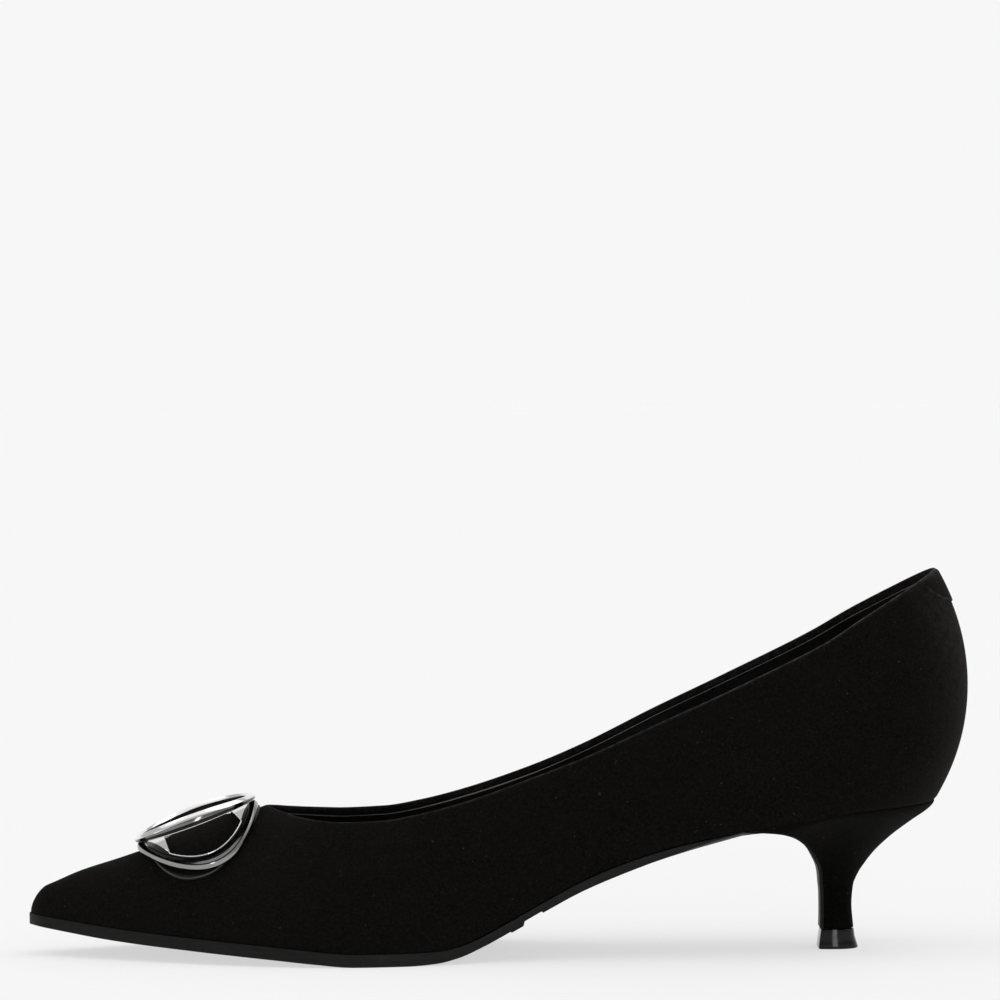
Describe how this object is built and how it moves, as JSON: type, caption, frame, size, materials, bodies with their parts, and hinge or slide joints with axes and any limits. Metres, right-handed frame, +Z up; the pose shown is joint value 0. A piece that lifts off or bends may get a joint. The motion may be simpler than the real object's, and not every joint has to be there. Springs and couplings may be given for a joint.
{
  "type": "kitten heel pump",
  "caption": "Pointed-toe suede pump for the left foot with a curved kitten heel, a flat double metal ring on the vamp and a half-moon tab on the back.",
  "frame": {"origin": "middle of the heel top piece's face on the floor", "axes": "+X to the toe, +Y to the outer side of the left foot, +Z up"},
  "size_m": [0.2544, 0.0709, 0.1024],
  "materials": {
    "suede": "suede",
    "sock": "smooth",
    "sole": "satin",
    "top_piece": "gloss",
    "pad": "satin",
    "flange": "gloss",
    "ring_metal": "polished gunmetal"
  },
  "bodies": {
    "root": {"upper": "suede", "back_tab": "suede", "insole": "sock", "outsole": "sole", "heel": "suede", "heel_tip": "top_piece", "ornament_pad": "pad", "ring_lower": "ring_metal", "ring_flange": "flange", "ring_upper": "ring_metal"}
  },
  "joints": []
}
